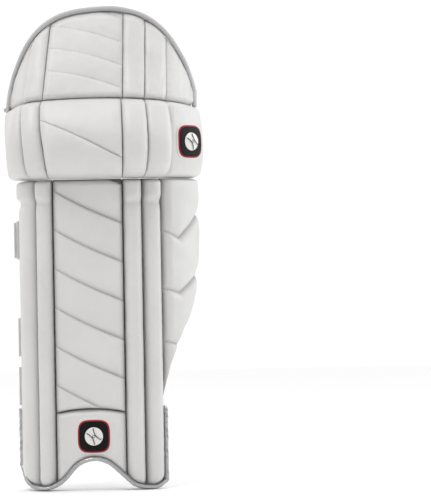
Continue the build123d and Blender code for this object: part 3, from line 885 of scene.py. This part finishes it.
for name, (span, crown, left, right, power, seams, wrinkle, grid) in flap_pieces.items():
    depth = flap_depth(name, crown, span, left, right, power, seams, wrinkle)
    replaced = [name, "flap_foam"] if name == "flap_centre_panel" else [name]
    attach(padded(name + "_cover", span, (above_flap_fold, flap_top), depth, BOARD - 1,
                  grid=grid, groove=0.15),
           "top_flap", replaced, across=FLAP_FOLD_ZONE)

edge_s = KNEE_LEFT_EDGE + (WING_EDGE - KNEE_LEFT_EDGE) * (1 - np.cos(np.linspace(0, math.pi, 220))) / 2
edge_z = np.maximum(arch(edge_s) - 2.0, flap_fold(edge_s) + 1)
down = np.linspace(0, 1, 12)[1:]
left_z = edge_z[0] + (flap_fold(edge_s[0]) - 2 - edge_z[0]) * down
right_z = edge_z[-1] + (flap_fold(edge_s[-1]) - 2 - edge_z[-1]) * down
edge_s = np.concatenate([0 * down + edge_s[0], edge_s, 0 * down + edge_s[-1]])
edge_z = np.concatenate([left_z[::-1], edge_z, right_z])
piping_path = place(edge_s, PIPING_DEPTH, edge_z)
attach(tube("arch_piping", piping_path, 3.6 * MM, GREY, sides=16, normals=(0.0, -1.0, 0.2), flatten=1.9),
       "top_flap", ["flap_piping"], across=FLAP_FOLD_ZONE)

# ------------------------------------------------------------------ side wing
WING_BASE = 18.0
WING_FOOT = 112.0
WING_STAND = 13.0             # the wing's stand at its seams
WING_PUFF = 7.5               # and how much further it swells between them
WING_SEAMS = ((363.0, 351.0, 386.0), (281.0, 274.0, 303.0), (207.0, 200.0, 226.0))
WING_VALLEY = 0.36            # share across the wing where its V seams are lowest


# Width of the side wing at each height, from nothing at its foot to full under the knee.
wing_reach = curve([(108, 0.5), (120, 1), (134, 2.5), (158, 7), (181, 13.5), (200, 23), (219, 33.5),
                    (242, 48.5), (275, 62.5), (300, 69.5), (352, 75), (400, 74.5), (436, 72)])


def wing_right(z):
    """Free edge of the wing, nipped in where each V seam reaches it."""
    nip = sum(1.3 * np.exp(-((z - seam[2]) / 6) ** 2) for seam in WING_SEAMS)
    return SHIN_RIGHT_EDGE + wing_reach(z) - nip


def wing_seams(s, z):
    """Distance above the V seam below, and the pitch to the next. Each seam falls to its
    valley, then climbs to the free edge."""
    share = (s - SHIN_RIGHT_EDGE) / 72.0
    lines = []
    for start, valley, end in WING_SEAMS:
        down = start + (valley - start) * share / WING_VALLEY
        up = valley + (end - valley) * (share - WING_VALLEY) / (1 - WING_VALLEY)
        lines.append(np.where(share < WING_VALLEY, down, up))
    return between(np.array(lines), z, 96.0)


def wing_depth(s, z, u, v):
    """Outer face of the side wing: its base less a stand with quarter-round edges. It swells
    as 1 - exp(-distance / 9) above each V seam and 1 - exp(-distance / 4) below."""
    edge = wing_right(z)
    section = rounded(s - SHIN_RIGHT_EDGE, 12.0) * rounded(edge - s, 7.0)
    ends = rounded(z - WING_FOOT, 8.0) * rounded(KNEE_FOLD - z, 5.0)
    above, pitch = wing_seams(s, z)
    puff = (1 - np.exp(-above / 9.0)) * (1 - np.exp(-(pitch - above) / 4.0))
    puff = 1 - (1 - puff) * (0.35 + 0.65 * rounded(edge - s, 22.0))
    height = WING_STAND + 1.2 * uneven(s, z, "wing", 55) + WING_PUFF * puff
    return WING_BASE - height * section * ends


def wing_valley(s, z, u, v):
    """Shade of the V seams: 0.7 exp(-distance / 2)."""
    above, pitch = wing_seams(s, z)
    return 0.7 * np.exp(-np.minimum(above, pitch - above) / 2.0)


def wing_bend(s):
    """A point across the wing's seam, 14 mm deep and 300 mm up."""
    x, y, z = place(s, 14, 300).tolist()
    return x, y, z


WING_ZONE = (wing_bend(SHIN_RIGHT_EDGE + 1), wing_bend(SHIN_RIGHT_EDGE + 16), "shin")
attach(padded("side_wing_cover", (SHIN_RIGHT_EDGE, wing_right), (WING_FOOT, KNEE_FOLD - GAP), wing_depth,
              WING_BASE + 2, grid=(70, 300), seam=wing_valley),
       "side_wing", ["wing_cover", "wing_stiffener"], across=WING_ZONE)

# ------------------------------------------------------------------ binding
def binding_run(depth):
    """Path of the bottom binding in (s, z): down the left end, along the arched foot and up
    the right end."""
    left, right = SHIN_LEFT_EDGE - 3.5, SHIN_RIGHT_EDGE - 1
    across = np.linspace(left, right, 400)
    rise = foot(across) + 3.4
    down = np.linspace(BINDING_TOP, rise[0], 24)[:-1]
    up = np.linspace(rise[-1], BINDING_TOP, 24)[1:]
    s = np.concatenate([0 * down + left, across, 0 * up + right])
    z = np.concatenate([down, rise, up])
    return s, z, depth + 0 * s


def even_path(s, z, d, step=3.0):
    """The same path with its points a constant distance apart."""
    length = run_length(place(s, d, z))
    at = np.linspace(0, length[-1], int(length[-1] / (step * MM)) + 2)
    return tuple(np.interp(at, length, a) for a in (s, z, d))


bind_s, bind_z, bind_d = even_path(*binding_run(9.0))
bind_path = place(bind_s, bind_d, bind_z)
bind_normal = place(bind_s, bind_d - 1, bind_z) - bind_path
gather = 1 + 0.03 * np.sin(np.arange(len(bind_path)) * 1.9) + 0.03 * np.sin(np.arange(len(bind_path)) * 0.7)
attach(tube("bottom_binding_cover", bind_path, 3.5 * MM * gather, SILVER, sides=18, flatten=2.3,
            normals=unit(bind_normal)),
       "shin", ["bottom_binding"])


# ------------------------------------------------------------------ stitches
def stitches(name, runs, body, across=None, pitch=4.2, length=2.7, radius=0.42):
    """Rows of thread: one small capsule, five six-sided rings along the row, repeated every
    pitch and laid along the surface. Each run is (s, z, d) along a seam."""
    points, normals, along = [], [], []
    for s, z, d in runs:
        d = np.ravel(d)
        path = place(s, d, z)
        far = run_length(path) / MM
        at = np.arange(pitch / 2, far[-1], pitch)
        s, z, d = (np.interp(at, far, a) for a in (s, z, d))
        here, out = place(s, d, z), place(s, d - 1, z)
        on = np.gradient(here, axis=0)
        points.append(here)
        normals.append(out - here)
        along.append(on)
    points, normals, along = (np.concatenate(a) for a in (points, normals, along))
    normals = unit(normals)
    along = unit(along - (along * normals).sum(1, keepdims=True) * normals)
    side = np.cross(along, normals)
    station = np.array([-1.0, -0.8, 0.0, 0.8, 1.0])
    fat = np.array([0.05, 0.75, 1.0, 0.75, 0.05])
    angle = np.linspace(0, 2 * math.pi, 6, endpoint=False)
    ring = (station[:, None, None] * length / 2 * along[:, None, None]
            + fat[:, None, None] * radius * (np.cos(angle)[:, None] * side[:, None, None]
                                             + np.sin(angle)[:, None] * normals[:, None, None]))
    vertices = (points[:, None, None] + ring * MM).reshape(-1, 3)
    index = np.arange(30).reshape(5, 6)
    after = np.roll(index, -1, 1)
    one = np.stack([index[:-1], index[1:], after[1:], after[:-1]], -1).reshape(-1, 4)[:, ::-1]
    faces = (one[None] + 30 * np.arange(len(points))[:, None, None]).reshape(-1, 4)
    return attach(new_object(name, vertices, faces, THREAD), body, across=across)


STITCH_RISE = 1.6             # stitches run this far above their seam
STITCH_STAND = 0.1            # and stand this far out of the cover

panel_s = np.linspace(CENTRE_LEFT + 3, CENTRE_RIGHT - 3, 60)
runs = []
for k in range(SEAM_COUNT):
    row = SEAM_TOP - SEAM_PITCH * k - seam_fall(panel_s) + STITCH_RISE
    keep = row > instep_seam(panel_s) + 6
    s, z = panel_s[keep], row[keep]
    if len(s) > 4:
        runs.append((s, z, centre_depth(s, z, panel_share(s), 0 * s) - STITCH_STAND))
stitches("panel_stitches", runs, "shin")
knee_s = np.linspace(-58, 44, 60)
knee_z = diagonal_seam(knee_s) + 2.2
knee_d = centre_knee_depth(knee_s, knee_z, 0 * knee_s, 0 * knee_s) - STITCH_STAND
stitches("knee_stitches", [(knee_s, knee_z, knee_d)], "knee", across=KNEE_FOLD_ZONE)
flap_s = np.linspace(FLAP_CENTRE_LEFT + 5, FLAP_CENTRE_RIGHT - 4, 60)
flap_u = (flap_s - FLAP_CENTRE_LEFT) / (FLAP_CENTRE_RIGHT - FLAP_CENTRE_LEFT)
flap_spans = (FLAP_CENTRE_LEFT, FLAP_CENTRE_RIGHT)
flap_centre_depth = flap_depth("flap_centre_panel", 1.0, flap_spans, 9.0, 7.0, None, True)
runs = []
for top in FLAP_SEAM_TOPS:
    flap_z = top - FLAP_SEAM_DROP * flap_u ** 1.7 + STITCH_RISE
    runs.append((flap_s, flap_z, flap_centre_depth(flap_s, flap_z, flap_u, 0 * flap_s) - STITCH_STAND))
stitches("flap_stitches", runs, "top_flap", across=FLAP_FOLD_ZONE)
side_z = np.linspace(KNEE_FOLD - 40, 60, 200)
stitches("bolster_stitches", [(0 * side_z + LEFT_SEAM + 1.4, side_z, 0 * side_z + 12.5)], "shin")


# ------------------------------------------------------------------ badges
BALL_RADIUS = 13.0
BALL_DOME = 1.4
BADGE_POWER = 3.6             # of the superellipse that rounds a badge's corners


def badge_patch(name, centre, half, power, surface, lift, rise, material, rings=14, spokes=96, dome=0.0):
    """Flat raised shape on a padded face: a polar grid over the superellipse of the given
    half-sizes and power, lifted off the face, closed at its middle, with a rounded rim."""
    share = np.linspace(0, 1, rings) ** 0.7
    angle = np.linspace(0, 2 * math.pi, spokes, endpoint=False)
    cos, sin = np.cos(angle), np.sin(angle)
    reach = (np.abs(cos) ** power + np.abs(sin) ** power) ** (-1 / power)
    s = centre[0] + half[0] * share[:, None] * reach * cos
    z = centre[1] + half[1] * share[:, None] * reach * sin
    face = surface(s, z) - lift
    edge = (1 - share[:, None]) * half[0]
    top = place(s, face - rise * rounded(edge, 1.2) - dome * (1 - share[:, None] ** 2), z)
    low = place(s[-1:], face[-1:] + lift + 1.0, z[-1:])
    points = np.concatenate([top[1:], low]).reshape(-1, 3)
    points = np.concatenate([points, top[0, :1], low.mean(1)])
    index = np.arange(rings * spokes).reshape(rings, spokes)
    after = np.roll(index, -1, 1)
    faces = np.stack([index[1:], index[:-1], after[:-1], after[1:]], -1).reshape(-1, 4)
    middle = np.full(spokes, rings * spokes)
    fans = [np.stack([index[0], after[0], middle], -1), np.stack([after[-1], index[-1], middle + 1], -1)]
    return new_object(name, points, faces, material, caps=np.concatenate(fans).tolist())


def ball_seams(name, centre, surface):
    """Two raised bands across the ball, each an arc x = 3 + 3.6 t^2 that bows towards the
    other at its middle, turned by 35 degrees and carried on the ball's dome."""
    turn = np.linspace(-0.92, 0.92, 40)
    tilt = math.radians(35)
    points, faces, caps = [], [], []
    for k, side in enumerate((-1, 1)):
        a, b = side * (3.0 + 3.6 * turn ** 2), 11.0 * turn
        s = centre[0] + a * math.cos(tilt) - b * math.sin(tilt)
        z = centre[1] + a * math.sin(tilt) + b * math.cos(tilt)
        face = surface(s, z) - 4.0 - BALL_DOME * (1 - (a * a + b * b) / BALL_RADIUS ** 2)
        path = place(s, face, z)
        out = unit(place(s, face - 1, z) - path)
        band, band_faces, band_caps, _ = tube_mesh(path, 0.55 * MM, 10, 1.0, out)
        points.append(band)
        faces.append(band_faces + k * len(band))
        caps += (np.array(band_caps) + k * len(band)).tolist()
    return new_object(name, np.concatenate(points), np.concatenate(faces), BLACK, caps=caps)


def instep_face(s, z):
    """Outer face of the instep panel under its badge: its depth at its share across."""
    u = panel_share(s)
    return instep_depth(s, z, u, 0 * u)


def knee_wing_face(s, z):
    """Outer face of the knee's wing under its badge: its depth, whatever the share."""
    return side_depths["knee_wing"](s, z, 0 * s, 0 * s)


BADGES = {
    "instep_badge": ((1.5, 76.0), instep_face, "shin"),
    "knee_badge": ((148.5, 487.0), knee_wing_face, "knee"),
}
BADGE_SHAPES = (
    ("rim", (23.0, 23.5), BADGE_POWER, 0.2, 1.6, RED, 0.0),
    ("field", (21.2, 21.7), BADGE_POWER, 1.2, 1.2, BLACK, 0.0),
    ("ball", (BALL_RADIUS, BALL_RADIUS), 2.0, 2.0, 1.0, MOTIF, BALL_DOME),
)
for name, (centre, surface, body) in BADGES.items():
    border = badge_patch(name + "_border", centre, (26.0, 26.5), BADGE_POWER, surface, -0.2, 1.0, WHITE)
    attach(border, body)
    attach(ball_seams(name + "_seams", centre, surface), body)
    for shape, half, power, lift, rise, material, dome in BADGE_SHAPES:
        obj = badge_patch(name + "_" + shape, centre, half, power, surface, lift, rise, material, dome=dome)
        attach(obj, body, [name] if shape == "rim" else ())

# ------------------------------------------------------------------ linings and cushions
LINING_FRONT = 27.0
LINING_BACK = 35.0


def lining_share(s, z, span, heights, full):
    """Rounded rim of an inner piece: the product of a quarter-round from each edge."""
    left, right = edges(span, z)
    low, high = edges(heights, s)
    across = rounded(s - left, full) * rounded(right - s, full)
    return across * rounded(z - low, full) * rounded(high - z, full)


def flat(depth):
    """A face at one depth all over."""
    return lambda s, z, u, v: depth + 0 * s


def lined(name, span, heights, body, across=None, channels=(), grid=(100, 160)):
    """Quilted lining: flat on the board, bulging inward between stitched channels, each a
    groove of 4 mm exp(-distance / 3.5)."""
    def back(s, z):
        """The front plus a stand less its channels, brought to nothing at the rim."""
        stand = LINING_BACK - LINING_FRONT + 1.0 + 0.5 * uneven(s, z, name, 50)
        for at in channels:
            stand = stand - 4.0 * np.exp(-np.abs(s - at) / 3.5)
        return LINING_FRONT + stand * lining_share(s, z, span, heights, 6.0)
    return attach(padded(name + "_cover", span, heights, flat(LINING_FRONT), back, LINING, grid=grid),
                  body, [name], across=across)


def cushion(name, span, heights, thick=8.0):
    """Comfort cushion on the shin's lining: a pillow whose section is a superellipse of power
    2.6 across and 9 up."""
    def back(s, z):
        """The lining's back plus the thickness times both superellipses."""
        across_t = np.abs(2 * (s - span[0]) / (span[1] - span[0]) - 1)
        up_t = np.abs(2 * (z - heights[0]) / (heights[1] - heights[0]) - 1)
        share = superellipse(across_t, 2.6) * superellipse(up_t, 9)
        return LINING_BACK + (thick + 0.5 * uneven(s, z, name, 40)) * share
    obj = padded(name + "_cover", span, heights, flat(LINING_BACK - 0.5), back, LINING, grid=(50, 90))
    return attach(obj, "shin", [name])


LINING_LEFT = -107.0
LINING_RIGHT = SHIN_RIGHT_EDGE - 1
lined("shin_lining", (SHIN_LEFT_EDGE + 1, LINING_RIGHT), (lambda s: foot(s) + 5, KNEE_FOLD - 2), "shin",
      channels=(-82, -44, -5, 34, 72), grid=(170, 150))
lined("knee_lining", (LINING_LEFT, LINING_RIGHT), (KNEE_FOLD + 3, FLAP_FOLD - 4), "knee",
      across=KNEE_FOLD_ZONE, channels=(-82, 72), grid=(150, 60))
lined("flap_lining", (LINING_LEFT, LINING_RIGHT), (FLAP_FOLD + 4, lambda s: arch(s) - 8), "top_flap",
      across=FLAP_FOLD_ZONE, channels=(-60, -22, 16, 50), grid=(150, 70))
cushion("left_calf_cushion", (SHIN_LEFT_EDGE + 4, -105.0), (70.0, 410.0))
cushion("right_calf_cushion", (65.0, 95.0), (70.0, 410.0))
cushion("ankle_cushion", (-40.0, 37.0), (60.0, 132.0))


def knee_cup():
    """Oval ring cushion inside the knee: a torus whose section is a half superellipse of
    power 2.4, lying on the lining."""
    count, sides = 96, 28
    turn = np.linspace(0, 2 * math.pi, count, endpoint=False)[:, None]
    angle = np.linspace(0, 2 * math.pi, sides, endpoint=False)[None]
    out = 9.0 * signed_power(np.cos(angle), 2 / 2.4)
    rise = 8.5 * signed_power(np.sin(angle), 2 / 2.4)
    rise = np.where(rise > 0, rise, 0.1 * rise)
    s = -11.5 + (33.0 + out) * np.cos(turn)
    z = (KNEE_FOLD + FLAP_FOLD) / 2 + (37.0 + out) * np.sin(turn)
    points = place(s, LINING_BACK + 1 + rise + 0.25 * uneven(s, z, "cup", 20), z).reshape(-1, 3)
    index = np.arange(count * sides).reshape(count, sides)
    after, beside = np.roll(index, -1, 0), np.roll(index, -1, 1)
    faces = np.stack([index, beside, np.roll(after, -1, 1), after], -1).reshape(-1, 4)
    uv = np.stack([s, z], -1).reshape(-1, 2) * MAP
    return new_object("knee_cup_cover", points, faces, LINING, uv)


attach(knee_cup(), "knee", ["knee_cup_cushion"], across=KNEE_FOLD_ZONE)

# ------------------------------------------------------------------ side wing lining
def wing_back(s, z):
    """Inner face of the side wing, behind the stiffener: 2 mm plus 3 mm of puff between the
    V seams, times quarter-round edges."""
    edge = wing_right(z)
    section = rounded(s - SHIN_RIGHT_EDGE - 2, 6.0) * rounded(edge - 2 - s, 6.0)
    ends = rounded(z - 118, 6.0) * rounded(KNEE_FOLD - 2 - z, 6.0)
    above, pitch = wing_seams(s, z)
    puff = (1 - np.exp(-above / 5.0)) * (1 - np.exp(-(pitch - above) / 5.0))
    return WING_BASE + 1 + (2.0 + 3.0 * puff) * section * ends


attach(padded("wing_lining_cover", (SHIN_RIGHT_EDGE + 2, lambda z: wing_right(z) - 2), (118.0, KNEE_FOLD - 2),
              flat(WING_BASE + 0.5), wing_back, LINING, grid=(40, 160)),
       "side_wing", ["wing_lining"], across=WING_ZONE)

# ------------------------------------------------------------------ straps
STRAPS = {"upper_strap": 352.0, "calf_strap": 215.0, "ankle_strap": 146.0}
STRAP_HALF = 24.0
STRAP_SIDES = 40


def strap_loop():
    """Centre line of a closed strap in plan, from the wing side round the back to the left
    edge: a cubic Hermite curve through its turning points."""
    hinge = np.array([86.94, 51.63])
    back = np.array([-math.cos(CORNER_TURN), math.sin(CORNER_TURN)])
    end = np.array(plan(np.float64(SHIN_LEFT_EDGE), 8.0)) + back * 4.4
    entry = np.array(plan(np.float64(SHIN_LEFT_EDGE), 38.0)) + back * 4.6
    knots = np.array([hinge, (84, 70), (74, 90), (52, 105), (20, 114.5), (-14, 114), (-42, 101), (-60, 82),
                      (-69, 66), entry, end])
    far = run_length(knots)
    at = np.linspace(0, far[-1], 150)
    return np.stack([curve(list(zip(far, knots[:, k])))(at) for k in (0, 1)], -1)


def strap(name, height):
    """Webbing band: its section, a 48 by 2.5 mm superellipse of power 6.7, carried along the
    loop, sagging by 1.5 mm at the back and waving gently at its edges."""
    line = strap_loop()
    along = unit(np.gradient(line, axis=0))
    out = np.stack([-along[:, 1], along[:, 0]], -1)
    share = np.linspace(0, 1, len(line))
    angle = np.linspace(0, 2 * math.pi, STRAP_SIDES, endpoint=False)
    thin = 1.25 * signed_power(np.cos(angle), 0.3)
    tall = STRAP_HALF * signed_power(np.sin(angle), 0.3)
    wave = 0.6 * np.sin(9 * share + height)[:, None] * (tall / STRAP_HALF)
    wall = line[:, None] + (thin + wave)[..., None] * out[:, None]
    z = height - 1.5 * np.sin(math.pi * share)[:, None] + tall[None]
    points = np.stack([wall[..., 0] - CENTRE_X, wall[..., 1] - CENTRE_Y, z], -1) * MM
    faces, caps = carried(len(line), STRAP_SIDES)
    uv = np.stack(np.broadcast_arrays(run_length(line)[:, None] * MAP, z * MAP), -1).reshape(-1, 2)
    obj = new_object(name + "_band", points.reshape(-1, 3), faces, STRAP, uv, caps=caps)
    return attach(obj, name, [name])


for name, height in STRAPS.items():
    strap(name, height)

# ------------------------------------------------------------------ camera, light, floor
IMAGE_HEIGHT_MM = 699.0
CAMERA_DISTANCE = 4000.0
CAMERA_AZIMUTH = math.radians(3.5)
AIM_X, AIM_Z = 176.0, 333.5


def build_camera():
    """Long lens at half the pad's height, turned a little to the wing side and rolled by a
    degree, aimed to the right of the pad so that it stands in the left half of the frame."""
    data = bpy.data.cameras.new("camera")
    data.lens = 36.0 * CAMERA_DISTANCE / IMAGE_HEIGHT_MM
    camera = bpy.data.objects.new("camera", data)
    bpy.context.scene.collection.objects.link(camera)
    away = np.array([math.sin(CAMERA_AZIMUTH), -math.cos(CAMERA_AZIMUTH), 0.0])
    middle = np.array([-CENTRE_X, -CENTRE_Y, AIM_Z])
    position = (middle + away * CAMERA_DISTANCE) * MM
    target = (middle + np.array([AIM_X, 0, 0])) * MM
    direction = Vector(target - position)
    camera.location = position
    turn = direction.to_track_quat("-Z", "Y").to_matrix().to_4x4()
    roll = Matrix.Rotation(math.radians(-1.0), 4, "Z")
    camera.rotation_euler = (turn @ roll).to_euler()
    bpy.context.scene.camera = camera


def area_light(name, location, target, size, power, colour=(1, 1, 1)):
    """Square soft light aimed at a point."""
    data = bpy.data.lights.new(name, "AREA")
    data.size = size
    data.energy = power
    data.color = colour
    light = bpy.data.objects.new(name, data)
    bpy.context.scene.collection.objects.link(light)
    light.location = location
    light.rotation_euler = (Vector(target) - Vector(location)).to_track_quat("-Z", "Y").to_euler()


def build_world():
    """White tent: bright behind, above and beside the pad, dimmer in front of it."""
    world = bpy.data.worlds.new("studio")
    world.use_nodes = True
    tree = world.node_tree
    coordinates = tree.nodes.new("ShaderNodeTexCoord")
    parts = tree.nodes.new("ShaderNodeSeparateXYZ")
    tree.links.new(coordinates.outputs["Generated"], parts.inputs[0])
    behind = math_node(tree, "MULTIPLY", math_node(tree, "ADD", parts.outputs["Y"], 0.25), 1.6, clamp=True)
    aside = math_node(tree, "ABSOLUTE", parts.outputs["X"])
    above = math_node(tree, "MULTIPLY", math_node(tree, "MAXIMUM", parts.outputs["Z"], 0.0), 1.2)
    back = math_node(tree, "MULTIPLY", behind, 0.94)
    bright = math_node(tree, "MAXIMUM", back, math_node(tree, "MULTIPLY", aside, 0.6))
    strength = math_node(tree, "ADD", math_node(tree, "MAXIMUM", bright, above), 0.1)
    tree.links.new(strength, tree.nodes["Background"].inputs["Strength"])
    tree.nodes["Background"].inputs["Color"].default_value = (1.0, 1.0, 1.0, 1)
    bpy.context.scene.world = world


def build_studio():
    """Plain pale floor, white surroundings and two soft lights: the key in front, above and
    to the left, the other to the right and a little behind."""
    floor_material, _, shader = blank_material("pale_floor")
    set_inputs(shader, {"Base Color": (0.97, 0.97, 0.97, 1), "Roughness": 0.9})
    corners = np.array([(-4, -4, 0), (4, -4, 0), (4, 4, 0), (-4, 4, 0)], float)
    floor = new_object("floor", corners, np.array([[0, 1, 2, 3]]), floor_material)
    build_world()
    area_light("key", (-0.7, -0.9, 2.3), (0, 0, 0.34), 0.8, 12, (1.0, 0.985, 0.965))
    area_light("rim", (1.6, 0.3, 0.9), (0, 0, 0.34), 1.0, 7, (0.96, 0.98, 1.0))
    bpy.context.scene.view_settings.view_transform = "Standard"


build_camera()
build_studio()
NODE_MATERIALS = {"shin_board": SHEET, "knee_board": SHEET, "flap_board": SHEET, "shin_centre_foam": FOAM,
                  "bolster_foam_cores": FOAM, "bolster_canes": CANE, "knee_foam_core": FOAM}
for name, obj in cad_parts.items():
    material = NODE_MATERIALS.get(name, WHITE)
    if "lining" in name or "cushion" in name:
        material = LINING
    if any(word in name for word in ("strap", "loop", "tab", "anchor")):
        material = TAB
    if "hook" in name:
        material = HOOK
    if "binding" in name:
        material = SILVER
    if "badge" in name:
        material = BLACK
    obj.data.materials.clear()
    obj.data.materials.append(material)
